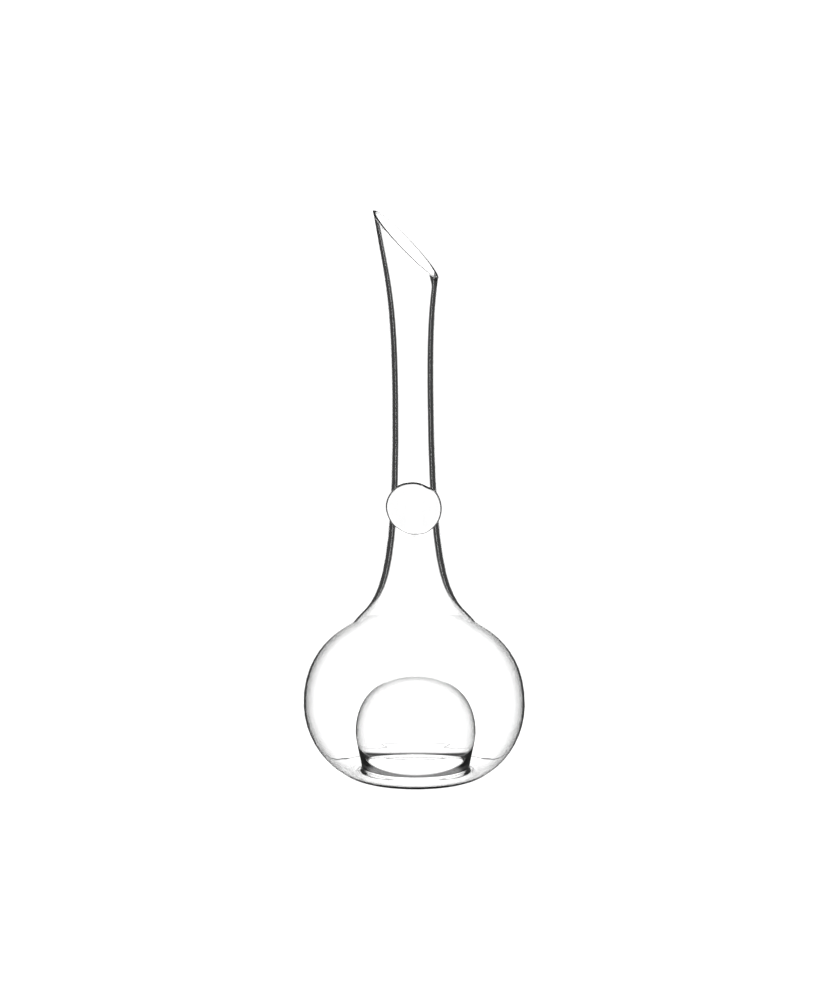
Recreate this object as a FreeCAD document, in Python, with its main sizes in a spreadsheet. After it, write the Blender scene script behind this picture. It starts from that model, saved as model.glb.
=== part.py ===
import FreeCAD
import Part
import Sketcher
import math
import os

# A mouth-blown decanter in clear glass, in one piece: a wide onion bowl on a narrow standing ring,
# a bubble-shaped punt pushed up from below, a tall slender neck that flares to a slanting mouth,
# and a round glass seal fused to the front of the neck.
# Millimetres. +Z is up, the bowl's axis is the Z axis and the standing plane is Z = 0.
# The seal faces -Y and the tip of the mouth points to -X.

SIZES = {
    # Mouth, cut on a slant
    "mouth_height": 383.5,
    "mouth_slant": 46.4,
    "mouth_turn": 7.0,
    "lip_radius": 27.5,
    "lip_wall": 1.8,
    "lip_trim": 2.6,
    "shear_margin": 6.0,
    "rim_rounding": 0.55,
    # Neck
    "neck_radius": 15.1,
    "neck_height": 278.0,
    "neck_wall": 2.4,
    "flare_spread": 8.3,
    "flare_reach": 53.0,
    "neck_reach": 60.0,
    # Shoulder, where the neck's hollow curve turns into the bowl's round one
    "shoulder_radius": 43.5,
    "shoulder_height": 113.5,
    "shoulder_slope": 52.4,
    "shoulder_wall": 1.6,
    "root_foot": 10.5,
    "root_pull": 20.5,
    "inner_root_pull": 24.0,
    "crown_pull": 4.6,
    # Bowl
    "belly_radius": 80.75,
    "belly_height": 52.5,
    "belly_wall": 1.5,
    "crown_reach": 44.1,
    "bilge_reach": 32.7,
    "inner_bilge_reach": 30.3,
    # Standing ring and floor
    "ring_radius": 46.0,
    "ring_width": 2.0,
    "floor_wall": 1.4,
    "floor_reach": 8.6,
    "inner_floor_reach": 10.0,
    # Throat of the punt, with its bead
    "throat_inset": 9.2,
    "throat_height": 7.0,
    "throat_bead": 3.5,
    "bead_height": 8.5,
    "toe_pull": 1.8,
    "toe_reach": 4.3,
    "valley_pull": 5.0,
    "valley_reach": 2.5,
    "throat_reach": 5.1,
    "inner_throat_reach": 3.6,
    # Dome of the punt
    "dome_radius": 43.2,
    "dome_waist_height": 31.0,
    "dome_height": 71.2,
    "dome_wall": 1.2,
    "dome_under_reach": 10.0,
    "inner_dome_under_reach": 6.9,
    "dome_side_reach": 20.0,
    "dome_top_reach": 31.2,
    # Seal on the neck
    "seal_height": 197.0,
    "seal_width": 40.2,
    "seal_length": 37.6,
    "seal_thickness": 3.2,
    "seal_proud": 6.2,
    "seal_tilt": 4.3,
    "seal_root_radius": 11.5,
    "seal_root_depth": 8.7,
    "seal_rounding": 1.2,
}


class Size:
    """A length with its number and the formula that ties it to the sheet."""

    def __init__(self, value, formula):
        self.value = value
        self.formula = formula

    def __add__(self, other):
        return Size(self.value + other.value, "(" + self.formula + " + " + other.formula + ")")

    def __sub__(self, other):
        return Size(self.value - other.value, "(" + self.formula + " - " + other.formula + ")")

    def __mul__(self, other):
        return Size(self.value * other.value, self.formula + " * " + other.formula)

    def __neg__(self):
        return Size(-self.value, "-" + self.formula)

    def half(self):
        return Size(self.value / 2.0, "(" + self.formula + " / 2)")


def sine(angle):
    return Size(math.sin(math.radians(angle.value)), "sin(" + angle.formula + " * 1 deg)")


def cosine(angle):
    return Size(math.cos(math.radians(angle.value)), "cos(" + angle.formula + " * 1 deg)")


def tangent(angle):
    return Size(math.tan(math.radians(angle.value)), "tan(" + angle.formula + " * 1 deg)")


ZERO = Size(0.0, "0")


def make_sheet(document):
    """Put the driving sizes in a spreadsheet, one named cell each."""
    sheet = document.addObject("Spreadsheet::Sheet", "sizes")
    named = {}
    for row, (name, value) in enumerate(SIZES.items(), start=1):
        sheet.set("A%d" % row, name)
        sheet.set("B%d" % row, str(value))
        sheet.setAlias("B%d" % row, name)
        named[name] = Size(value, "sizes." + name)
    document.recompute()
    return named


def origin_plane(body, role):
    return [item for item in body.Origin.OriginFeatures if item.Role == role][0]


def add_sketch(body, name, role):
    sketch = body.newObject("Sketcher::SketchObject", name)
    sketch.AttachmentSupport = [(origin_plane(body, role), "")]
    sketch.MapMode = "FlatFace"
    return sketch


def pin(sketch, geometry, point, across, up, name):
    """Hold a point of the sketch at a named distance across and up from the origin."""
    if across is ZERO:
        sketch.addConstraint(Sketcher.Constraint("PointOnObject", geometry, point, -2))
    else:
        index = sketch.addConstraint(Sketcher.Constraint("DistanceX", -1, 1, geometry, point, across.value))
        sketch.renameConstraint(index, name + "_across")
        sketch.setExpression("Constraints." + name + "_across", across.formula)
    if up is ZERO:
        sketch.addConstraint(Sketcher.Constraint("PointOnObject", geometry, point, -1))
    else:
        index = sketch.addConstraint(Sketcher.Constraint("DistanceY", -1, 1, geometry, point, up.value))
        sketch.renameConstraint(index, name + "_up")
        sketch.setExpression("Constraints." + name + "_up", up.formula)


def vector(across, up):
    return FreeCAD.Vector(across.value, up.value, 0)


def add_curve(sketch, poles, previous, name):
    """Draw one cubic curve through its two ends, drawn towards the two poles between them."""
    curve = Part.BSplineCurve(
        [vector(*pole) for pole in poles], [4, 4], [0.0, 1.0], False, 3, [1.0] * 4, False
    )
    spline = sketch.addGeometry(curve, False)
    sketch.exposeInternalGeometry(spline)
    if previous is None:
        pin(sketch, spline + 1, 3, *poles[0], name + "_start")
    else:
        sketch.addConstraint(Sketcher.Constraint("Coincident", previous, 2, spline, 1))
    for number in (1, 2, 3):
        pin(sketch, spline + 1 + number, 3, *poles[number], name + "_%d" % number)
    return spline


def add_line(sketch, start, end, previous, name, closes=None):
    """Draw a straight line on from the previous curve, or back to the first one."""
    line = sketch.addGeometry(Part.LineSegment(vector(*start), vector(*end)), False)
    if previous is None:
        pin(sketch, line, 1, *start, name + "_start")
    else:
        sketch.addConstraint(Sketcher.Constraint("Coincident", previous, 2, line, 1))
    if closes is None:
        pin(sketch, line, 2, *end, name + "_end")
    else:
        sketch.addConstraint(Sketcher.Constraint("Coincident", line, 2, closes, 1))
    return line


def draw_outline(sketch, start, steps, close_with):
    """Draw a closed outline: curves and lines one after another, and the line that closes it."""
    first = None
    previous = None
    at = start
    for name, targets in steps:
        if len(targets) == 3:
            previous = add_curve(sketch, [at] + targets, previous, name)
        else:
            previous = add_line(sketch, at, targets[0], previous, name)
        if first is None:
            first = previous
        at = targets[-1]
    add_line(sketch, at, start, previous, close_with, closes=first)


def glass_outline(size):
    """The stations that the outside and the inside of the glass share, worked out from the sizes."""
    slope_across = cosine(size["shoulder_slope"])
    slope_up = sine(size["shoulder_slope"])
    rise = tangent(size["mouth_slant"])
    shoulder = (size["shoulder_radius"], size["shoulder_height"])
    return {
        "slope": (slope_across, slope_up),
        "top": size["mouth_height"] + size["lip_radius"] * rise + size["lip_trim"],
        "shoulder": shoulder,
        "inner_shoulder": (
            shoulder[0] - size["shoulder_wall"] * slope_up,
            shoulder[1] - size["shoulder_wall"] * slope_across,
        ),
        "ring_outer": size["ring_radius"] + size["ring_width"].half(),
        "ring_inner": size["ring_radius"] - size["ring_width"].half(),
    }


def add_outside(body, size, shared):
    """Revolve the whole outside, from the lip round the bowl and up into the punt, as one solid."""
    top = shared["top"]
    shoulder = shared["shoulder"]
    across, up = shared["slope"]
    throat = shared["ring_inner"] - size["throat_inset"]
    belly = size["belly_radius"]
    dome = size["dome_radius"]
    steps = [
        ("flare", [
            (size["lip_radius"] - size["flare_spread"], top - size["flare_reach"]),
            (size["neck_radius"], top - size["neck_reach"]),
            (size["neck_radius"], size["neck_height"]),
        ]),
        ("root", [
            (size["neck_radius"], shoulder[1] + size["root_foot"]),
            (shoulder[0] - size["root_pull"] * across, shoulder[1] + size["root_pull"] * up),
            shoulder,
        ]),
        ("crown", [
            (shoulder[0] + size["crown_pull"] * across, shoulder[1] - size["crown_pull"] * up),
            (belly, size["belly_height"] + size["crown_reach"]),
            (belly, size["belly_height"]),
        ]),
        ("bilge", [
            (belly, size["belly_height"] - size["bilge_reach"]),
            (shared["ring_outer"] + size["floor_reach"], ZERO),
            (shared["ring_outer"], ZERO),
        ]),
        ("ring", [(shared["ring_inner"], ZERO)]),
        ("toe", [
            (shared["ring_inner"] - size["toe_pull"], ZERO),
            (throat, size["throat_height"] - size["toe_reach"]),
            (throat, size["throat_height"]),
        ]),
        ("throat", [
            (throat, size["throat_height"] + size["throat_reach"]),
            (dome, size["dome_waist_height"] - size["dome_under_reach"]),
            (dome, size["dome_waist_height"]),
        ]),
        ("dome", [
            (dome, size["dome_waist_height"] + size["dome_side_reach"]),
            (size["dome_top_reach"], size["dome_height"]),
            (ZERO, size["dome_height"]),
        ]),
        ("axis", [(ZERO, top)]),
    ]
    sketch = add_sketch(body, "outside_profile", "XZ_Plane")
    draw_outline(sketch, (size["lip_radius"], top), steps, "blank_top")
    outside = body.newObject("PartDesign::Revolution", "outside")
    outside.Profile = sketch
    outside.ReferenceAxis = (sketch, ["V_Axis"])
    outside.Angle = 360


def add_seal(body, size):
    """Press an oval seal on the front of the neck, with the gather of glass that carries it."""
    front = size["neck_radius"] + size["seal_proud"]
    back = front - size["seal_thickness"]
    sections = []
    for name, depth in (("seal_root", back - (size["seal_root_depth"] - size["seal_thickness"])),
                        ("seal_back", back)):
        sketch = add_sketch(body, name, "XZ_Plane")
        sketch.AttachmentOffset = FreeCAD.Placement(
            FreeCAD.Vector(0, size["seal_height"].value, depth.value),
            FreeCAD.Rotation(FreeCAD.Vector(1, 0, 0), -size["seal_tilt"].value),
        )
        sketch.setExpression("AttachmentOffset.Base.y", size["seal_height"].formula)
        sketch.setExpression("AttachmentOffset.Base.z", depth.formula)
        sketch.setExpression("AttachmentOffset.Rotation.Angle", "-" + size["seal_tilt"].formula)
        sections.append(sketch)
    root, face = sections

    circle = root.addGeometry(
        Part.Circle(FreeCAD.Vector(0, 0, 0), FreeCAD.Vector(0, 0, 1), size["seal_root_radius"].value), False
    )
    root.addConstraint(Sketcher.Constraint("Coincident", circle, 3, -1, 1))
    index = root.addConstraint(Sketcher.Constraint("Radius", circle, size["seal_root_radius"].value))
    root.renameConstraint(index, "root_radius")
    root.setExpression("Constraints.root_radius", size["seal_root_radius"].formula)

    half_width = size["seal_width"].half().value
    half_length = size["seal_length"].half().value
    oval = face.addGeometry(Part.Ellipse(FreeCAD.Vector(0, 0, 0), half_width, half_length), False)
    face.exposeInternalGeometry(oval)
    face.addConstraint(Sketcher.Constraint("Coincident", oval, 3, -1, 1))
    face.addConstraint(Sketcher.Constraint("Horizontal", oval + 1))
    for line, name in ((oval + 1, "seal_width"), (oval + 2, "seal_length")):
        index = face.addConstraint(Sketcher.Constraint("Distance", line, 1, line, 2, size[name].value))
        face.renameConstraint(index, name)
        face.setExpression("Constraints." + name, size[name].formula)

    gather = body.newObject("PartDesign::AdditiveLoft", "seal_gather")
    gather.Profile = root
    gather.Sections = [face]
    face_pad = body.newObject("PartDesign::Pad", "seal_face")
    face_pad.Profile = face
    face_pad.Length = size["seal_thickness"].value
    face_pad.setExpression("Length", size["seal_thickness"].formula)


def seal_edges(shape, size):
    """The two edges of the seal's face: closed ones in front of the neck, as wide as the seal."""
    found = []
    for number, edge in enumerate(shape.Edges, start=1):
        box = edge.BoundBox
        wide = abs(box.XLength - size["seal_width"].value) < size["seal_rounding"].value
        if wide and box.YMax < 0 and abs(box.Center.z - size["seal_height"].value) < size["seal_width"].value:
            found.append("Edge%d" % number)
    return found


def add_inside(body, size, shared):
    """Hollow out the neck and the bowl, down to the floor and round the punt."""
    top = shared["top"]
    shoulder = shared["inner_shoulder"]
    across, up = shared["slope"]
    bore = size["neck_radius"] - size["neck_wall"]
    lip = size["lip_radius"] - size["lip_wall"]
    belly = size["belly_radius"] - size["belly_wall"]
    valley = shared["ring_outer"]
    bead = shared["ring_inner"] - size["throat_inset"] + size["throat_bead"]
    dome = size["dome_radius"] + size["dome_wall"]
    crown = size["dome_height"] + size["dome_wall"]
    steps = [
        ("flare", [
            (lip - size["flare_spread"], top - size["flare_reach"]),
            (bore, top - size["neck_reach"]),
            (bore, size["neck_height"]),
        ]),
        ("root", [
            (bore, shoulder[1] + size["root_foot"]),
            (shoulder[0] - size["inner_root_pull"] * across, shoulder[1] + size["inner_root_pull"] * up),
            shoulder,
        ]),
        ("crown", [
            (shoulder[0] + size["crown_pull"] * across, shoulder[1] - size["crown_pull"] * up),
            (belly, size["belly_height"] + size["crown_reach"]),
            (belly, size["belly_height"]),
        ]),
        ("bilge", [
            (belly, size["belly_height"] - size["inner_bilge_reach"]),
            (valley + size["inner_floor_reach"], size["floor_wall"]),
            (valley, size["floor_wall"]),
        ]),
        ("valley", [
            (valley - size["valley_pull"], size["floor_wall"]),
            (bead, size["bead_height"] - size["valley_reach"]),
            (bead, size["bead_height"]),
        ]),
        ("throat", [
            (bead, size["bead_height"] + size["inner_throat_reach"]),
            (dome, size["dome_waist_height"] - size["inner_dome_under_reach"]),
            (dome, size["dome_waist_height"]),
        ]),
        ("dome", [
            (dome, size["dome_waist_height"] + size["dome_side_reach"]),
            (size["dome_top_reach"] + size["dome_wall"], crown),
            (ZERO, crown),
        ]),
        ("axis", [(ZERO, top)]),
    ]
    sketch = add_sketch(body, "inside_profile", "XZ_Plane")
    draw_outline(sketch, (lip, top), steps, "bore_top")
    inside = body.newObject("PartDesign::Groove", "inside")
    inside.Profile = sketch
    inside.ReferenceAxis = (sketch, ["V_Axis"])
    inside.Angle = 360


def add_mouth_cut(body, size):
    """Shear the mouth on a slant that falls from the tip at -X, turned a little towards the front."""
    rise = tangent(size["mouth_slant"])
    reach = size["lip_radius"] + size["shear_margin"]
    high = size["mouth_height"] + reach * rise
    low = size["mouth_height"] - reach * rise
    sketch = add_sketch(body, "mouth_profile", "XZ_Plane")
    sketch.AttachmentOffset = FreeCAD.Placement(
        FreeCAD.Vector(0, 0, 0), FreeCAD.Rotation(FreeCAD.Vector(0, 1, 0), -size["mouth_turn"].value)
    )
    sketch.setExpression("AttachmentOffset.Rotation.Angle", "-" + size["mouth_turn"].formula)
    corners = [(-reach, high), (reach, low), (reach, high)]
    lines = []
    for number, start in enumerate(corners):
        end = corners[(number + 1) % len(corners)]
        lines.append(sketch.addGeometry(Part.LineSegment(vector(*start), vector(*end)), False))
    for number, corner in enumerate(corners):
        following = lines[(number + 1) % len(corners)]
        sketch.addConstraint(Sketcher.Constraint("Coincident", lines[number], 2, following, 1))
        pin(sketch, lines[number], 1, *corner, "corner_%d" % number)
    cut = body.newObject("PartDesign::Pocket", "mouth_cut")
    cut.Profile = sketch
    cut.Type = "ThroughAll"
    cut.Midplane = True
    return cut


def rim_edges(shape, size):
    """The two closed edges of the sheared rim, both on the slanting plane."""
    turn = math.radians(-size["mouth_turn"].value)
    slant = math.radians(size["mouth_slant"].value)
    normal = FreeCAD.Vector(
        math.sin(slant) * math.cos(turn), math.sin(slant) * math.sin(turn), math.cos(slant)
    )
    level = normal.z * size["mouth_height"].value
    tolerance = 0.01
    found = []
    for number, edge in enumerate(shape.Edges, start=1):
        if edge.Degenerated:
            continue
        first, last = edge.ParameterRange
        points = [edge.valueAt(first + (last - first) * step / 8.0) for step in range(9)]
        if all(abs(point.dot(normal) - level) < tolerance for point in points):
            found.append("Edge%d" % number)
    return found


def add_rounding(body, document, base, edges, name, radius):
    """Melt the named edges round, as the flame leaves them."""
    rounding = body.newObject("PartDesign::Fillet", name)
    rounding.Base = (base, edges)
    rounding.Radius = radius.value
    rounding.setExpression("Radius", radius.formula)
    document.recompute()
    return rounding


def check(document, body):
    for item in document.Objects:
        state = [word for word in item.State if word in ("Invalid", "Error")]
        if state:
            raise RuntimeError("%s is %s" % (item.Name, ", ".join(state)))
    shape = body.Shape
    if shape.isNull() or not shape.isValid() or len(shape.Solids) != 1:
        raise RuntimeError(body.Label + " has no single valid solid")


def main():
    document = FreeCAD.newDocument("decanter")
    size = make_sheet(document)
    shared = glass_outline(size)
    body = document.addObject("PartDesign::Body", "carafe")
    body.Label = "carafe"
    body.Placement = FreeCAD.Placement()
    add_outside(body, size, shared)
    document.recompute()
    add_seal(body, size)
    document.recompute()
    add_rounding(body, document, body.Tip, seal_edges(body.Shape, size), "seal_rounding_edges",
                 size["seal_rounding"])
    add_inside(body, size, shared)
    document.recompute()
    solid_before = body.Shape.Volume
    cut = add_mouth_cut(body, size)
    document.recompute()
    if body.Shape.Volume >= solid_before:
        raise RuntimeError("the mouth was not cut")
    add_rounding(body, document, cut, rim_edges(body.Shape, size), "rim_rounding_edges",
                 size["rim_rounding"])
    document.recompute()
    check(document, body)
    os.makedirs("parts", exist_ok=True)
    body.Shape.exportStep("parts/" + body.Label + ".step")
    box = body.Shape.BoundBox
    print("%s: %.1f cm3, box %.1f x %.1f x %.1f mm, z %.2f to %.2f" % (
        body.Label, body.Shape.Volume / 1000.0, box.XLength, box.YLength, box.ZLength, box.ZMin, box.ZMax))


main()
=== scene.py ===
"""A mouth-blown glass decanter, dressed for the studio round its packed CAD frame."""

import math

import bpy
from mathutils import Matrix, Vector


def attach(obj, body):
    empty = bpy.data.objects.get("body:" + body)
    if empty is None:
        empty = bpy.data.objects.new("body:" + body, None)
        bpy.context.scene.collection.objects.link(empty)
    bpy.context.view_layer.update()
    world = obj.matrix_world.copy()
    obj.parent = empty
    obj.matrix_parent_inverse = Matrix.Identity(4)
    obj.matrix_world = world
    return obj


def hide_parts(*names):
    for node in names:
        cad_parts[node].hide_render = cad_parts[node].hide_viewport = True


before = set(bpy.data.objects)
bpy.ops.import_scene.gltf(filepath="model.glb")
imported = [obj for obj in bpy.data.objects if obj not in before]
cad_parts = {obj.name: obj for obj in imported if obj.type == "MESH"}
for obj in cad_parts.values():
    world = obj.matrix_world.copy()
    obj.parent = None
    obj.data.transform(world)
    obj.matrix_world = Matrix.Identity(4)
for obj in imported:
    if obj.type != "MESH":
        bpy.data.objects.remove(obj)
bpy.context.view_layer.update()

bl_info = {
    "name": "Blown Glass Decanter",
    "version": (1, 0, 0),
    "blender": (4, 5, 0),
    "location": "View3D > Sidebar > Decanter",
    "description": "Models a mouth-blown decanter with its seal, and the bright-field studio it stands in",
    "category": "Add Mesh",
}

NODE = "carafe"
MM = 0.001

# How finely curves are searched and points are joined, and the sharpest fold that is still shaded smooth
HALVINGS = 40
CUT_PASSES = 30
WELD_MM = 0.002
SMOOTH_DEGREES = 32.0

# The seal's uneven outline, as pairs of an angle in degrees and a radius
SEAL_RADII_MM = (
    (-153.0, 19.4), (-122.0, 18.4), (-90.0, 18.9), (-60.0, 19.6), (-20.0, 19.9), (16.0, 19.9), (38.0, 20.0),
    (62.0, 18.6), (92.0, 19.0), (130.0, 20.0), (168.0, 20.3),
)
SEAL_STEPS = 96
SEAL_EDGE_STEPS = 6

# The gather behind the seal: how far back it goes and how much narrower it gets, in two steps
GATHER_MM = ((2.0, 0.86), (8.0, 0.78))
GATHER_CORE_STEPS = 128
GATHER_CORE_HALF_MM = 30.0

# The satin lies within this reach of the seal's middle, in front of this depth, on glass that faces the front
SATIN_REACH_MM = 22.0
SATIN_BACK_MM = 3.0
SATIN_FADE_MM = 0.4
SATIN_FACING = (-0.98, -0.995)
SATIN_ROUGHNESS = 0.35
GRAIN_SCALE = 900.0
GRAIN_STRENGTH = 0.2
GRAIN_DEPTH_MM = 0.1

GLASS_IOR = 1.52
RIPPLE_SCALE = 28.0

# How far the piece leans to -X, as pairs of a height and a distance
LEAN_MM = ((0.0, 0.0), (25.0, -0.6), (60.0, -1.1), (113.0, -0.8), (200.0, -1.2), (278.0, -2.0), (411.0, -3.6))

# The ground and its edge, in metres unless named otherwise
FLOOR_SIZE = 6.0
FLOOR_DROP_MM = 0.2
GROUND_EDGE_LENGTH = 0.36
GROUND_EDGE_DEPTH_MM = 0.2
GROUND_LID_DEPTH_MM = 4.0
GROUND_LID_THICKNESS_MM = 0.02

# Each window of the world: its middle, turned from +Y to +X, and its lowest and highest elevation, in degrees
BACK_WINDOW = (0.0, -26.0, 12.0)
SIDE_WINDOWS = (
    (90.0, -26.0, 12.0), (180.0, -26.0, 12.0), (270.0, -26.0, 12.0),
    (45.0, -37.0, -17.0), (225.0, -37.0, -17.0), (315.0, -37.0, -17.0), (135.0, -27.0, -3.0),
)
# The elevations, in degrees, below which all is white ground and above which the room's top light begins
GROUND_BELOW = -60.0
ROOM_ABOVE = 14.0
# How often light may be reflected in the glass before the back window and the ground are shut off
REFLECTIONS_SEEN = 2.0

SENSOR_HEIGHT_MM = 36.0
CLIP_END = 20.0


def length(name, description, default_mm):
    """A length property in metres, whose default is given in millimetres."""
    return bpy.props.FloatProperty(
        name=name, description=description, default=default_mm * MM,
        unit="LENGTH", subtype="DISTANCE", precision=5,
    )


def angle(name, description, default_degrees):
    """An angle property in radians, whose default is given in degrees."""
    return bpy.props.FloatProperty(
        name=name, description=description, default=math.radians(default_degrees), subtype="ANGLE"
    )


def factor(name, description, default):
    """A plain number that is a share or a strength."""
    return bpy.props.FloatProperty(name=name, description=description, default=default, subtype="FACTOR")


class DecanterMouth(bpy.types.PropertyGroup):
    """The flared mouth and its slanting rim."""

    height: length("Height", "Height at which the slanting cut crosses the neck's axis", 383.5)
    slant: angle("Slant", "Angle between the cut and the horizontal", 46.4)
    turn: angle("Turn", "How far the fall of the cut is turned towards the front", 7.0)
    lip_radius: length("Lip radius", "Outer radius of the flared tube above the cut", 27.5)
    lip_wall: length("Lip wall", "Thickness of the glass at the lip", 1.8)
    trim: length("Trim", "Length of tube sheared off above the tip", 2.6)
    spread: length("Flare spread", "How far in from the lip the flare's curve is drawn", 8.3)
    reach: length("Flare reach", "How far down from the lip the flare's curve is drawn", 53.0)
    rounding: length("Rim rounding", "How far the flame has raised the rim's middle over the cut", 0.8)


class DecanterNeck(bpy.types.PropertyGroup):
    """The slender neck and the hollow curve at its root."""

    radius: length("Radius", "Outer radius at the neck's narrowest place", 15.1)
    height: length("Height", "Height of the neck's narrowest place", 278.0)
    wall: length("Wall", "Thickness of the glass in the neck", 2.4)
    reach: length("Reach", "How far below the lip the neck's curve is drawn", 60.0)
    root_foot: length("Root foot", "Height above the shoulder to which the neck's curve is drawn", 10.5)
    root_pull: length("Root pull", "How far the hollow curve is drawn up from the shoulder, outside", 20.5)
    inner_root_pull: length("Inner root pull", "The same inside, where the glass thickens", 24.0)


class DecanterBowl(bpy.types.PropertyGroup):
    """The onion bowl, from the shoulder down to the standing ring."""

    shoulder_radius: length("Shoulder radius", "Radius where the hollow curve turns round", 43.5)
    shoulder_height: length("Shoulder height", "Height where the hollow curve turns round", 113.5)
    shoulder_slope: angle("Shoulder slope", "Slope of the glass at the shoulder", 52.4)
    shoulder_wall: length("Shoulder wall", "Thickness of the glass at the shoulder", 1.6)
    crown_pull: length("Crown pull", "How far the round curve is drawn down from the shoulder", 4.6)
    belly_radius: length("Belly radius", "Largest outer radius of the bowl", 80.75)
    belly_height: length("Belly height", "Height of the largest radius", 52.5)
    belly_wall: length("Belly wall", "Thickness of the glass at the belly", 1.5)
    crown_reach: length("Crown reach", "How far the curve is drawn up from the belly", 44.1)
    bilge_reach: length("Bilge reach", "How far the curve is drawn down from the belly", 32.7)
    inner_bilge_reach: length("Inner bilge reach", "The same inside", 30.3)
    floor_reach: length("Floor reach", "How far the floor's curve is drawn out from the ring", 8.6)
    inner_floor_reach: length("Inner floor reach", "The same inside", 10.0)
    floor_wall: length("Floor wall", "Thickness of the glass over the standing ring", 1.4)
    ring_radius: length("Ring radius", "Radius of the middle of the standing ring", 46.0)
    ring_width: length("Ring width", "Width of the standing ring", 2.0)


class DecanterPunt(bpy.types.PropertyGroup):
    """The bubble pushed up from below, with its throat and its bead of thicker glass."""

    throat_inset: length("Throat inset", "How far inside the ring the throat is", 8.8)
    throat_height: length("Throat height", "Height of the throat's narrowest place", 6.2)
    bead: length("Bead", "Thickness of the glass at the throat", 3.2)
    bead_height: length("Bead height", "Height of the bead on the bowl's side", 5.0)
    toe_pull: length("Toe pull", "How far the toe's curve is drawn in from the ring", 2.5)
    toe_reach: length("Toe reach", "How far the toe's curve is drawn down from the throat", 4.0)
    valley_pull: length("Valley pull", "How far the valley's curve is drawn in over the ring", 2.3)
    valley_reach: length("Valley reach", "How far the valley's curve is drawn down from the bead", 3.5)
    throat_reach: length("Throat reach", "How far the throat's curve is drawn up", 1.0)
    inner_throat_reach: length("Inner throat reach", "The same on the bowl's side", 4.0)
    radius: length("Radius", "Largest radius of the bubble", 43.2)
    waist_height: length("Waist height", "Height of the bubble's largest radius", 31.0)
    height: length("Height", "Height of the bubble's top", 71.2)
    wall: length("Wall", "Thickness of the bubble's glass", 0.7)
    under_reach: length("Under reach", "How far the curve is drawn down from the waist", 15.0)
    inner_under_reach: length("Inner under reach", "The same on the bowl's side", 6.9)
    side_reach: length("Side reach", "How far the curve is drawn up from the waist", 20.0)
    top_reach: length("Top reach", "How far the curve is drawn out from the top", 31.2)


class DecanterSeal(bpy.types.PropertyGroup):
    """The oval seal pressed on the front of the neck."""

    height: length("Height", "Height of the seal's middle", 200.3)
    thickness: length("Thickness", "Thickness of the seal at its edge", 3.2)
    proud: length("Proud", "How far the seal's face stands out from the narrowest neck", 6.2)
    tilt: angle("Tilt", "How far the face leans back with the neck", 4.3)
    rounding: length("Rounding", "Radius of the seal's melted edge", 1.35)
    satin: factor("Satin", "How milky the die has left the pressed face", 0.9)


class DecanterHand(bpy.types.PropertyGroup):
    """How finely the blown piece is modelled."""

    steps: bpy.props.IntProperty(name="Steps", description="Faces round the axis", default=420, min=32)
    curve_steps: bpy.props.IntProperty(
        name="Curve steps", description="Faces along each curve", default=13, min=4
    )


class DecanterGlass(bpy.types.PropertyGroup):
    """The glass itself."""

    tint: bpy.props.FloatVectorProperty(
        name="Tint", description="Colour of the light that the glass lets through",
        default=(1.0, 1.0, 1.0), size=3, subtype="COLOR", min=0.0, max=1.0,
    )
    ripple: length("Ripple", "Depth of the ripples that blowing leaves in the surface", 0.004)


class DecanterStudio(bpy.types.PropertyGroup):
    """The bright-field studio: a white ground, dark sides, and the camera."""

    camera_distance: length("Camera distance", "From the camera to the decanter's axis", 3000.0)
    camera_elevation: angle("Camera elevation", "How far the camera looks down", 11.0)
    aim_height: length("Aim height", "Height of the middle of the picture", 202.6)
    aim_across: length("Aim across", "Place of the middle of the picture, left to right", -1.9)
    focal_length: bpy.props.FloatProperty(
        name="Focal length", description="Focal length of the lens, in millimetres", default=150.0
    )
    window_half: angle("Window half-width", "Half the width of each bright window", 10.0)
    window_edge: angle("Window edge", "Width of a window's soft edge", 4.0)
    gain: factor("Gain", "Brightness of the windows as the glass sees them", 1.7)
    ground: factor("Ground", "Brightness of the white ground as the camera sees it", 1.1)
    dark: factor("Dark", "Brightness of the dark sides", 0.03)
    top_light: factor("Top light", "Brightness of the room above the windows", 0.15)
    line_distance: length("Line distance", "How far behind the decanter the ground's edge lies", 150.0)
    line_elevation: angle("Line elevation", "Angle below level at which the camera sees that edge", 14.6)
    line_half: length("Line half-thickness", "Half the thickness of the ground's dark edge", 0.5)


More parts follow.
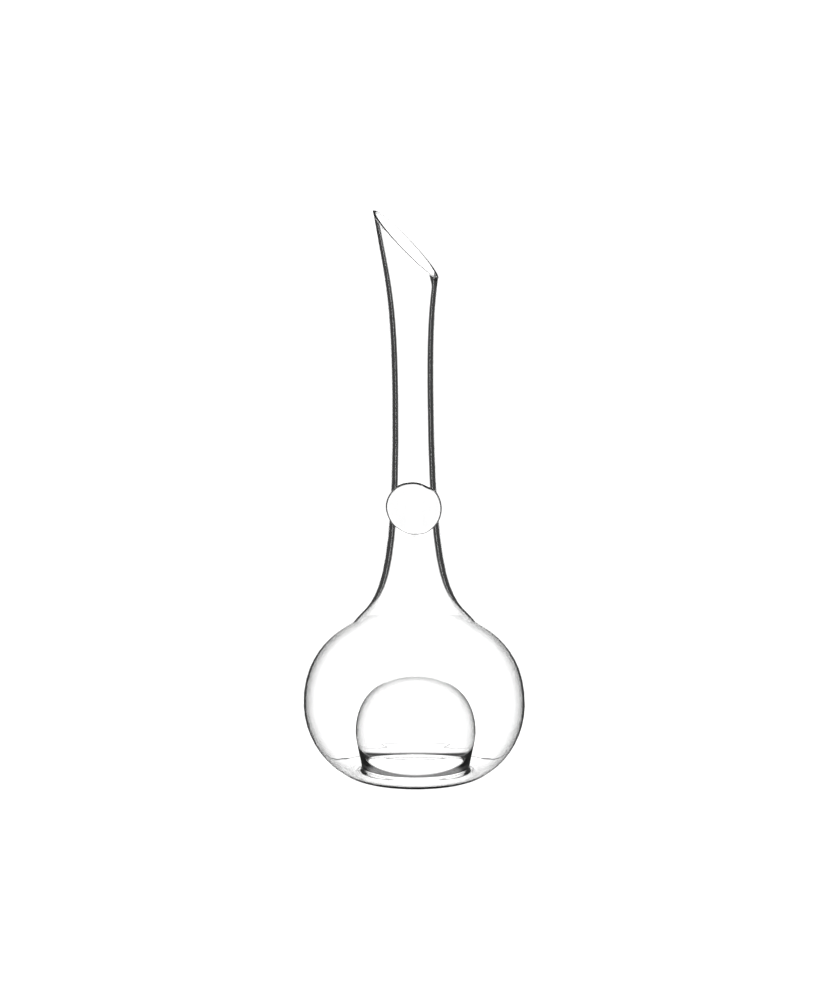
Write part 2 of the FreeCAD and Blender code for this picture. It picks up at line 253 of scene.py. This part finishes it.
def glass_stations(scene):
    """The outline's curves, outside and inside: each a pair of (radius, height) points and two handles."""
    mouth = scene.decanter_mouth
    neck = scene.decanter_neck
    bowl = scene.decanter_bowl
    punt = scene.decanter_punt
    top = mouth.height + mouth.lip_radius * math.tan(mouth.slant) + mouth.trim
    across = math.cos(bowl.shoulder_slope)
    up = math.sin(bowl.shoulder_slope)
    ring_outer = bowl.ring_radius + bowl.ring_width / 2
    ring_inner = bowl.ring_radius - bowl.ring_width / 2
    throat = ring_inner - punt.throat_inset

    def upper(lip, bore, shoulder, pull, belly):
        """The curves from the lip down to the belly."""
        return [
            [(lip, top), (lip - mouth.spread, top - mouth.reach),
             (bore, top - neck.reach), (bore, neck.height)],
            [(bore, neck.height), (bore, shoulder[1] + neck.root_foot),
             (shoulder[0] - pull * across, shoulder[1] + pull * up), shoulder],
            [shoulder, (shoulder[0] + bowl.crown_pull * across, shoulder[1] - bowl.crown_pull * up),
             (belly, bowl.belly_height + bowl.crown_reach), (belly, bowl.belly_height)],
        ]

    shoulder = (bowl.shoulder_radius, bowl.shoulder_height)
    belly = bowl.belly_radius
    outside = upper(mouth.lip_radius, neck.radius, shoulder, neck.root_pull, belly) + [
        [(belly, bowl.belly_height), (belly, bowl.belly_height - bowl.bilge_reach),
         (ring_outer + bowl.floor_reach, 0.0), (ring_outer, 0.0)],
        [(ring_outer, 0.0), (bowl.ring_radius, 0.0), (bowl.ring_radius, 0.0), (ring_inner, 0.0)],
        [(ring_inner, 0.0), (ring_inner - punt.toe_pull, 0.0),
         (throat, punt.throat_height - punt.toe_reach), (throat, punt.throat_height)],
        [(throat, punt.throat_height), (throat, punt.throat_height + punt.throat_reach),
         (punt.radius, punt.waist_height - punt.under_reach), (punt.radius, punt.waist_height)],
        [(punt.radius, punt.waist_height), (punt.radius, punt.waist_height + punt.side_reach),
         (punt.top_reach, punt.height), (0.0, punt.height)],
    ]

    inner_shoulder = (shoulder[0] - bowl.shoulder_wall * up, shoulder[1] - bowl.shoulder_wall * across)
    inner_belly = belly - bowl.belly_wall
    bead = throat + punt.bead
    dome = punt.radius + punt.wall
    crown = punt.height + punt.wall
    floor = bowl.floor_wall
    inside = upper(
        mouth.lip_radius - mouth.lip_wall, neck.radius - neck.wall,
        inner_shoulder, neck.inner_root_pull, inner_belly,
    ) + [
        [(inner_belly, bowl.belly_height), (inner_belly, bowl.belly_height - bowl.inner_bilge_reach),
         (ring_outer + bowl.inner_floor_reach, floor), (ring_outer, floor)],
        [(ring_outer, floor), (ring_outer - punt.valley_pull, floor),
         (bead, punt.bead_height - punt.valley_reach), (bead, punt.bead_height)],
        [(bead, punt.bead_height), (bead, punt.bead_height + punt.inner_throat_reach),
         (dome, punt.waist_height - punt.inner_under_reach), (dome, punt.waist_height)],
        [(dome, punt.waist_height), (dome, punt.waist_height + punt.side_reach),
         (punt.top_reach + punt.wall, crown), (0.0, crown)],
    ]
    return outside, inside


def cubic(curve, place):
    """The point of a cubic curve at a place from 0 to 1."""
    rest = 1.0 - place
    weights = (rest ** 3, 3 * rest ** 2 * place, 3 * rest * place ** 2, place ** 3)
    return tuple(sum(weight * point[axis] for weight, point in zip(weights, curve)) for axis in (0, 1))


def radius_at(curve, height):
    """The radius of a falling curve at a height, found by halving."""
    low, high = 0.0, 1.0
    for _ in range(HALVINGS):
        middle = (low + high) / 2
        if cubic(curve, middle)[1] > height:
            low = middle
        else:
            high = middle
    return cubic(curve, low)[0]


def deselect_all():
    """Leave edit mode and select nothing, so that the next piece starts alone."""
    if bpy.context.mode != "OBJECT":
        bpy.ops.object.mode_set(mode="OBJECT")
    bpy.ops.object.select_all(action="DESELECT")


def make_active(piece):
    """Make a piece the only selected one and the active one."""
    deselect_all()
    piece.select_set(True)
    bpy.context.view_layer.objects.active = piece


def edit_all(piece):
    """Enter edit mode with everything selected."""
    make_active(piece)
    bpy.ops.object.mode_set(mode="EDIT")
    bpy.ops.mesh.select_all(action="SELECT")


def draw_section(name, curves, curve_steps):
    """Draw the glass's section as one Bezier spline, from under the punt's top round the rim to over it."""
    deselect_all()
    bpy.ops.curve.primitive_bezier_curve_add(location=(0, 0, 0))
    section = bpy.context.object
    section.name = name
    section.data.dimensions = "3D"
    section.data.splines.clear()
    spline = section.data.splines.new("BEZIER")
    spline.resolution_u = curve_steps
    spline.bezier_points.add(len(curves))
    stations = [curves[0][0]] + [curve[3] for curve in curves]
    for number, (point, station) in enumerate(zip(spline.bezier_points, stations)):
        before = curves[number - 1][2] if number > 0 else station
        after = curves[number][1] if number < len(curves) else station
        point.handle_left_type = "FREE"
        point.handle_right_type = "FREE"
        point.co = (station[0], 0.0, station[1])
        point.handle_left = (before[0], 0.0, before[1])
        point.handle_right = (after[0], 0.0, after[1])
    bpy.ops.object.convert(target="MESH")
    return bpy.context.object


def rim_curve(outside, inside, rounding):
    """The melted rim: from the outside of the lip over to the inside."""
    outer, inner = outside[0][0], inside[0][0]
    raised = outer[1] + rounding * 4 / 3
    return [outer, (outer[0], raised), (inner[0], raised), inner]


def spin_shell(section, steps):
    """Turn the section once round the axis and point the faces outwards."""
    edit_all(section)
    bpy.ops.mesh.spin(steps=steps, angle=2 * math.pi, center=(0, 0, 0), axis=(0, 0, 1))
    bpy.ops.mesh.select_all(action="SELECT")
    bpy.ops.mesh.remove_doubles(threshold=WELD_MM * MM)
    bpy.ops.mesh.normals_make_consistent(inside=False)
    bpy.ops.object.mode_set(mode="OBJECT")


def shear_mouth(shell, scene, outside, inside):
    """Slide the flare's rings so that the rim lies on the slanting cut, each point still on its curve."""
    mouth = scene.decanter_mouth
    top = outside[0][0][1]
    start = scene.decanter_neck.height
    rise = math.tan(mouth.slant)
    normal = Vector((
        math.sin(mouth.slant) * math.cos(mouth.turn),
        -math.sin(mouth.slant) * math.sin(mouth.turn),
        math.cos(mouth.slant),
    ))
    walls = {}
    cuts = {}
    for vertex in shell.data.vertices:
        x, y, z = vertex.co
        if z <= start:
            continue
        radius = math.hypot(x, y)
        level = round(min(z, top), 7)
        if level not in walls:
            walls[level] = (radius_at(outside[0], level), radius_at(inside[0], level))
        outer, inner = walls[level]
        part = min(1.0, max(0.0, (outer - radius) / (outer - inner)))
        turn = round(math.atan2(y, x), 5)
        places = []
        for side, curve in enumerate((outside[0], inside[0])):
            if (side, turn) not in cuts:
                height = mouth.height
                for _ in range(CUT_PASSES):
                    height = mouth.height - rise * radius_at(curve, height) * math.cos(turn + mouth.turn)
                cuts[(side, turn)] = height
            height = start + (level - start) * (cuts[(side, turn)] - start) / (top - start)
            distance = radius_at(curve, height)
            places.append(Vector((distance * x / radius, distance * y / radius, height)))
        vertex.co = places[0].lerp(places[1], part) + normal * max(0.0, z - top)
    shell.data.update()


def fuse(piece, other, operation):
    """Apply a Boolean of another piece to this one, and remove the other."""
    make_active(piece)
    modifier = piece.modifiers.new("fuse", "BOOLEAN")
    modifier.operation = operation
    modifier.solver = "EXACT"
    modifier.object = other
    bpy.ops.object.modifier_apply(modifier=modifier.name)
    bpy.data.objects.remove(other)


def seal_radius(turn):
    """The radius of the seal's uneven outline at an angle, eased from one measured place to the next."""
    degrees = math.degrees(turn)
    places = [(a + shift, r) for shift in (-360.0, 0.0, 360.0) for a, r in SEAL_RADII_MM]
    for (a0, r0), (a1, r1) in zip(places, places[1:]):
        if a0 <= degrees < a1:
            ease = 0.5 - 0.5 * math.cos(math.pi * (degrees - a0) / (a1 - a0))
            return (r0 + (r1 - r0) * ease) * MM
    raise ValueError("no radius at %.1f degrees" % degrees)


def press_slug(seal):
    """The oval slug of the seal, lying flat, with both its edges melted round."""
    deselect_all()
    bpy.ops.mesh.primitive_cylinder_add(
        vertices=SEAL_STEPS, radius=1.0, depth=seal.thickness, location=(0, 0, 0), end_fill_type="NGON"
    )
    slug = bpy.context.object
    for vertex in slug.data.vertices:
        turn = math.atan2(vertex.co.y, vertex.co.x)
        radius = seal_radius(turn)
        vertex.co.x = radius * math.cos(turn)
        vertex.co.y = radius * math.sin(turn)
    make_active(slug)
    bpy.ops.object.mode_set(mode="EDIT")
    bpy.ops.mesh.select_mode(type="EDGE")
    bpy.ops.mesh.select_all(action="DESELECT")
    bpy.ops.object.mode_set(mode="OBJECT")
    flat = [face for face in slug.data.polygons if len(face.vertices) > 4]
    rims = {key for face in flat for key in face.edge_keys}
    for edge in slug.data.edges:
        edge.select = edge.key in rims
    bpy.ops.object.mode_set(mode="EDIT")
    bpy.ops.mesh.bevel(offset=seal.rounding, segments=SEAL_EDGE_STEPS, profile=0.5, affect="EDGES")
    bpy.ops.mesh.select_all(action="DESELECT")
    bpy.ops.object.mode_set(mode="OBJECT")
    return slug


def draw_gather(slug):
    """Draw the slug's back face out in narrowing steps, into the gather that joins it to the neck."""
    for face in slug.data.polygons:
        face.select = len(face.vertices) > 4 and face.normal.z < -0.9
    bpy.ops.object.mode_set(mode="EDIT")
    bpy.ops.mesh.select_mode(type="FACE")
    for depth, size in GATHER_MM:
        bpy.ops.mesh.extrude_region_move(TRANSFORM_OT_translate={"value": (0, 0, -depth * MM)})
        bpy.ops.transform.resize(value=(size, size, 1.0))
    bpy.ops.object.mode_set(mode="OBJECT")


def neck_core(height, outside, inside):
    """A cone that runs in the middle of the neck's wall, round a height."""
    half = GATHER_CORE_HALF_MM * MM
    low, high = height - half, height + half
    middle = [(radius_at(outside[1], place) + radius_at(inside[1], place)) / 2 for place in (low, high)]
    deselect_all()
    bpy.ops.mesh.primitive_cone_add(
        vertices=GATHER_CORE_STEPS, radius1=middle[0], radius2=middle[1], depth=high - low,
        location=(0, 0, height),
    )
    core = bpy.context.object
    make_active(core)
    bpy.ops.object.transform_apply(location=True, rotation=True, scale=True)
    return core


def model_seal(scene, outside, inside):
    """Press the seal: an oval slug with a melted edge, and a gather behind it that reaches into the wall."""
    seal = scene.decanter_seal
    front = scene.decanter_neck.radius + seal.proud
    slug = press_slug(seal)
    draw_gather(slug)
    slug.rotation_euler = (math.pi / 2 - seal.tilt, 0.0, 0.0)
    slug.location = (0.0, -(front - seal.thickness / 2), seal.height)
    bpy.ops.object.transform_apply(location=True, rotation=True, scale=True)
    fuse(slug, neck_core(seal.height, outside, inside), "DIFFERENCE")
    return slug


def lean_at(height):
    """How far the hand has let the piece lean to -X at a height."""
    for (z0, x0), (z1, x1) in zip(LEAN_MM, LEAN_MM[1:]):
        if height <= z1 * MM:
            part = (height / MM - z0) / (z1 - z0)
            return (x0 + (x1 - x0) * part) * MM
    return LEAN_MM[-1][1] * MM


def lean(shell, scene):
    """Lean the vessel by a hair, apart from the punt, which keeps its place on the axis."""
    bowl = scene.decanter_bowl
    punt = scene.decanter_punt
    punt_edge = bowl.ring_radius - bowl.ring_width / 4
    punt_top = punt.height + 3 * punt.wall
    for vertex in shell.data.vertices:
        inner = math.hypot(vertex.co.x, vertex.co.y) < punt_edge and vertex.co.z < punt_top
        if not inner:
            vertex.co.x += lean_at(vertex.co.z)
    shell.data.update()


def bump_map(tree, place, scale, strength, depth):
    """A fine unevenness of the surface, made by noise; returns the bump node and its noise node."""
    noise = tree.nodes.new("ShaderNodeTexNoise")
    noise.inputs["Scale"].default_value = scale
    tree.links.new(place.outputs["Object"], noise.inputs["Vector"])
    bump = tree.nodes.new("ShaderNodeBump")
    bump.inputs["Strength"].default_value = strength
    bump.inputs["Distance"].default_value = depth
    tree.links.new(noise.outputs["Fac"], bump.inputs["Height"])
    return bump, noise


def satin_share(tree, place, scene):
    """How much of the surface is satin: the seal's face and nothing else."""
    seal = scene.decanter_seal
    front = -(scene.decanter_neck.radius + seal.proud)

    def step(value, start, end):
        """1 past the end, 0 before the start."""
        ramp = tree.nodes.new("ShaderNodeMapRange")
        ramp.inputs["From Min"].default_value = start
        ramp.inputs["From Max"].default_value = end
        tree.links.new(value, ramp.inputs["Value"])
        return ramp.outputs["Result"]

    def product(first, second):
        """Two shares multiplied, the second a socket or a number."""
        node = tree.nodes.new("ShaderNodeMath")
        node.operation = "MULTIPLY"
        tree.links.new(first, node.inputs[0])
        if isinstance(second, float):
            node.inputs[1].default_value = second
        else:
            tree.links.new(second, node.inputs[1])
        return node.outputs[0]

    split = tree.nodes.new("ShaderNodeSeparateXYZ")
    tree.links.new(place.outputs["Object"], split.inputs[0])
    facing = tree.nodes.new("ShaderNodeNewGeometry")
    facing_split = tree.nodes.new("ShaderNodeSeparateXYZ")
    tree.links.new(facing.outputs["True Normal"], facing_split.inputs[0])
    back = front + SATIN_BACK_MM * MM
    proud = product(
        step(facing_split.outputs["Y"], *SATIN_FACING),
        step(split.outputs["Y"], back, back - SATIN_FADE_MM * MM),
    )
    reach = SATIN_REACH_MM * MM
    level = product(
        step(split.outputs["Z"], seal.height - reach, seal.height - reach + MM),
        step(split.outputs["Z"], seal.height + reach, seal.height + reach - MM),
    )
    return product(product(proud, level), seal.satin)


def glass_material(scene):
    """Clear colourless glass with faint ripples, and the satin that the die leaves on the seal's face."""
    glass = scene.decanter_glass
    material = bpy.data.materials.new("blown_glass")
    material.use_nodes = True
    tree = material.node_tree
    place = tree.nodes.new("ShaderNodeTexCoord")

    clear = tree.nodes["Principled BSDF"]
    clear.inputs["Base Color"].default_value = (*glass.tint, 1.0)
    clear.inputs["Transmission Weight"].default_value = 1.0
    clear.inputs["IOR"].default_value = GLASS_IOR
    clear.inputs["Roughness"].default_value = 0.0
    ripple, ripple_noise = bump_map(tree, place, RIPPLE_SCALE, 1.0, glass.ripple)
    ripple_noise.inputs["Detail"].default_value = 1.0
    tree.links.new(ripple.outputs["Normal"], clear.inputs["Normal"])

    satin = tree.nodes.new("ShaderNodeBsdfPrincipled")
    satin.inputs["Base Color"].default_value = (1.0, 1.0, 1.0, 1.0)
    satin.inputs["Roughness"].default_value = SATIN_ROUGHNESS
    grain, _ = bump_map(tree, place, GRAIN_SCALE, GRAIN_STRENGTH, GRAIN_DEPTH_MM * MM)
    tree.links.new(grain.outputs["Normal"], satin.inputs["Normal"])

    mix = tree.nodes.new("ShaderNodeMixShader")
    tree.links.new(satin_share(tree, place, scene), mix.inputs["Fac"])
    tree.links.new(clear.outputs[0], mix.inputs[1])
    tree.links.new(satin.outputs[0], mix.inputs[2])
    tree.links.new(mix.outputs[0], tree.nodes["Material Output"].inputs["Surface"])
    return material


class OBJECT_OT_decanter_vessel(bpy.types.Operator):
    """Blow the decanter: spin its section, shear and melt the mouth, and fuse the seal to the neck"""

    bl_idname = "object.decanter_vessel"
    bl_label = "Decanter Vessel"
    bl_options = {"REGISTER", "UNDO"}

    def execute(self, context):
        scene = context.scene
        outside, inside = glass_stations(scene)
        upward = [curve[::-1] for curve in reversed(outside)]
        rim = rim_curve(outside, inside, scene.decanter_mouth.rounding)
        vessel = draw_section("glass_vessel", upward + [rim] + inside, scene.decanter_hand.curve_steps)
        spin_shell(vessel, scene.decanter_hand.steps)
        shear_mouth(vessel, scene, outside, inside)
        seal = model_seal(scene, outside, inside)
        fuse(vessel, seal, "UNION")
        lean(vessel, scene)
        make_active(vessel)
        bpy.ops.object.shade_smooth_by_angle(angle=math.radians(SMOOTH_DEGREES))
        vessel.data.materials.clear()
        vessel.data.materials.append(glass_material(scene))
        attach(vessel, "root")
        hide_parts(NODE)
        return {"FINISHED"}


class SCENE_OT_decanter_studio(bpy.types.Operator):
    """Set up the bright-field studio: the floor, the world's windows, the ground's edge and the camera"""

    bl_idname = "scene.decanter_studio"
    bl_label = "Bright-field Studio"
    bl_options = {"REGISTER", "UNDO"}

    def execute(self, context):
        scene = context.scene
        make_floor(scene)
        make_ground_edge(scene)
        make_world(scene)
        make_camera(scene)
        return {"FINISHED"}


def emitter(name, colour, strength):
    """A surface that shines evenly and reflects nothing."""
    material = bpy.data.materials.new(name)
    material.use_nodes = True
    shader = material.node_tree.nodes["Principled BSDF"]
    shader.inputs["Base Color"].default_value = (0.0, 0.0, 0.0, 1.0)
    shader.inputs["Specular IOR Level"].default_value = 0.0
    shader.inputs["Emission Color"].default_value = (*colour, 1.0)
    shader.inputs["Emission Strength"].default_value = strength
    return material


def make_floor(scene):
    """A plain white sweep that the camera sees as the white ground; light in the glass passes it by."""
    deselect_all()
    bpy.ops.mesh.primitive_plane_add(size=FLOOR_SIZE, location=(0, 0, -FLOOR_DROP_MM * MM))
    floor = bpy.context.object
    floor.name = "floor"
    floor.data.materials.append(emitter("white_ground", (1.0, 1.0, 1.0), scene.decanter_studio.ground))
    floor.visible_transmission = False
    floor.visible_glossy = False
    floor.visible_shadow = False


def stage_strip(name, place, tip, size, material):
    """A strip on the stage that only light in the glass meets, tipped about X."""
    deselect_all()
    bpy.ops.mesh.primitive_cube_add(size=1.0, location=place, rotation=(tip, 0.0, 0.0))
    strip = bpy.context.object
    strip.name = name
    strip.scale = size
    bpy.ops.object.transform_apply(location=True, rotation=True, scale=True)
    strip.data.materials.append(material)
    strip.visible_camera = False
    strip.visible_diffuse = False
    strip.visible_shadow = False


def make_ground_edge(scene):
    """The dark edge of the ground behind the decanter, and a white strip that hides it from steeper views."""
    studio = scene.decanter_studio
    distance = studio.camera_distance
    camera_height = studio.aim_height + distance * math.sin(studio.camera_elevation)
    camera_back = distance * math.cos(studio.camera_elevation)
    height = camera_height - (camera_back + studio.line_distance) * math.tan(studio.line_elevation)
    stage_strip(
        "ground_edge", (0.0, studio.line_distance, height), 0.0,
        (GROUND_EDGE_LENGTH, GROUND_EDGE_DEPTH_MM * MM, 2 * studio.line_half),
        emitter("dark_edge", (0.0, 0.0, 0.0), 0.0),
    )
    depth = GROUND_LID_DEPTH_MM * MM
    forward = depth / 2 * math.cos(studio.line_elevation)
    upward = depth / 2 * math.sin(studio.line_elevation)
    stage_strip(
        "ground_edge_lid", (0.0, studio.line_distance - forward, height + studio.line_half + upward),
        -studio.line_elevation, (GROUND_EDGE_LENGTH, depth, GROUND_LID_THICKNESS_MM * MM),
        emitter("white_lid", (1.0, 1.0, 1.0), studio.gain),
    )


def make_world(scene):
    """White windows all round with dark between them, and plain white for what the camera sees directly."""
    studio = scene.decanter_studio
    world = bpy.data.worlds.new("studio_world")
    scene.world = world
    world.use_nodes = True
    tree = world.node_tree
    tree.nodes.clear()

    def math_node(operation, first, second=0.0, clamp=False):
        """One step of arithmetic on sockets or numbers."""
        node = tree.nodes.new("ShaderNodeMath")
        node.operation = operation
        node.use_clamp = clamp
        for socket, value in zip(node.inputs, (first, second)):
            if isinstance(value, (int, float)):
                socket.default_value = value
            else:
                tree.links.new(value, socket)
        return node.outputs[0]

    place = tree.nodes.new("ShaderNodeTexCoord")
    split = tree.nodes.new("ShaderNodeSeparateXYZ")
    tree.links.new(place.outputs["Generated"], split.inputs[0])
    azimuth = math_node("ARCTAN2", split.outputs["X"], split.outputs["Y"])
    elevation = math_node("ARCSINE", split.outputs["Z"])

    def fall(value, start, width):
        """0 up to the start and 1 beyond it, over a soft width; a width below nothing turns it downwards."""
        return math_node("DIVIDE", math_node("SUBTRACT", value, start), width, clamp=True)

    def window(centre, low, high):
        """1 inside a window and 0 outside it, with soft edges."""
        away = math_node("SUBTRACT", azimuth, math.radians(centre))
        wrap = tree.nodes.new("ShaderNodeMath")
        wrap.operation = "WRAP"
        tree.links.new(away, wrap.inputs[0])
        wrap.inputs[1].default_value = math.pi
        wrap.inputs[2].default_value = -math.pi
        beside = fall(math_node("ABSOLUTE", wrap.outputs[0]), studio.window_half, studio.window_edge)
        over = fall(elevation, math.radians(high), studio.window_edge)
        under = fall(elevation, math.radians(low), -studio.window_edge)
        shut = math_node("MAXIMUM", beside, math_node("MAXIMUM", over, under))
        return math_node("SUBTRACT", 1.0, shut, clamp=True)

    path = tree.nodes.new("ShaderNodeLightPath")
    unreflected = math_node("SUBTRACT", 1.0, path.outputs["Glossy Depth"], clamp=True)
    around = studio.dark
    for centre, low, high in SIDE_WINDOWS:
        around = math_node("MAXIMUM", around, window(centre, low, high))
    seldom_reflected = math_node("SUBTRACT", REFLECTIONS_SEEN, path.outputs["Glossy Depth"], clamp=True)
    low_light = fall(elevation, math.radians(GROUND_BELOW), -studio.window_edge)
    high_light = fall(elevation, math.radians(ROOM_ABOVE), studio.window_edge)
    light = math_node("MAXIMUM", window(*BACK_WINDOW), low_light)
    light = math_node("MAXIMUM", light, math_node("MULTIPLY", high_light, studio.top_light))
    light = math_node("MULTIPLY", light, seldom_reflected)
    light = math_node("MAXIMUM", light, math_node("MULTIPLY", around, unreflected))
    light = math_node("MAXIMUM", light, studio.dark)
    light = math_node("MULTIPLY", light, studio.gain)
    seen = math_node("MULTIPLY", path.outputs["Is Camera Ray"], studio.ground)
    soft_seen = math_node("MULTIPLY", path.outputs["Is Diffuse Ray"], studio.ground)
    light = math_node("MAXIMUM", light, math_node("MAXIMUM", seen, soft_seen))
    background = tree.nodes.new("ShaderNodeBackground")
    background.inputs["Color"].default_value = (1.0, 1.0, 1.0, 1.0)
    tree.links.new(light, background.inputs["Strength"])
    output = tree.nodes.new("ShaderNodeOutputWorld")
    tree.links.new(background.outputs[0], output.inputs["Surface"])
    scene.view_settings.view_transform = "Standard"


def make_camera(scene):
    """The camera at the photograph's viewing angle."""
    studio = scene.decanter_studio
    target = Vector((studio.aim_across, 0.0, studio.aim_height))
    deselect_all()
    bpy.ops.object.camera_add(location=(
        0.0,
        -studio.camera_distance * math.cos(studio.camera_elevation),
        studio.aim_height + studio.camera_distance * math.sin(studio.camera_elevation),
    ))
    camera = bpy.context.object
    camera.rotation_euler = (target - camera.location).to_track_quat("-Z", "Y").to_euler()
    camera.data.sensor_fit = "VERTICAL"
    camera.data.sensor_height = SENSOR_HEIGHT_MM
    camera.data.lens = studio.focal_length
    camera.data.clip_end = CLIP_END
    scene.camera = camera


class VIEW3D_PT_decanter(bpy.types.Panel):
    """The decanter's pieces and sizes, in the sidebar"""

    bl_idname = "VIEW3D_PT_decanter"
    bl_label = "Decanter"
    bl_space_type = "VIEW_3D"
    bl_region_type = "UI"
    bl_category = "Decanter"

    def draw(self, context):
        layout = self.layout
        for operator in OPERATORS:
            layout.operator(operator.bl_idname)
        for name, group in GROUPS:
            box = layout.box()
            box.label(text=group.__doc__)
            settings = getattr(context.scene, name)
            for key in group.__annotations__:
                box.prop(settings, key)


GROUPS = (
    ("decanter_mouth", DecanterMouth),
    ("decanter_neck", DecanterNeck),
    ("decanter_bowl", DecanterBowl),
    ("decanter_punt", DecanterPunt),
    ("decanter_seal", DecanterSeal),
    ("decanter_hand", DecanterHand),
    ("decanter_glass", DecanterGlass),
    ("decanter_studio", DecanterStudio),
)
OPERATORS = (OBJECT_OT_decanter_vessel, SCENE_OT_decanter_studio)


def register():
    for name, group in GROUPS:
        bpy.utils.register_class(group)
        setattr(bpy.types.Scene, name, bpy.props.PointerProperty(type=group))
    for operator in OPERATORS:
        bpy.utils.register_class(operator)
    bpy.utils.register_class(VIEW3D_PT_decanter)


def unregister():
    bpy.utils.unregister_class(VIEW3D_PT_decanter)
    for operator in reversed(OPERATORS):
        bpy.utils.unregister_class(operator)
    for name, group in reversed(GROUPS):
        delattr(bpy.types.Scene, name)
        bpy.utils.unregister_class(group)


def main():
    register()
    bpy.ops.object.decanter_vessel()
    bpy.ops.scene.decanter_studio()


if __name__ == "__main__":
    main()
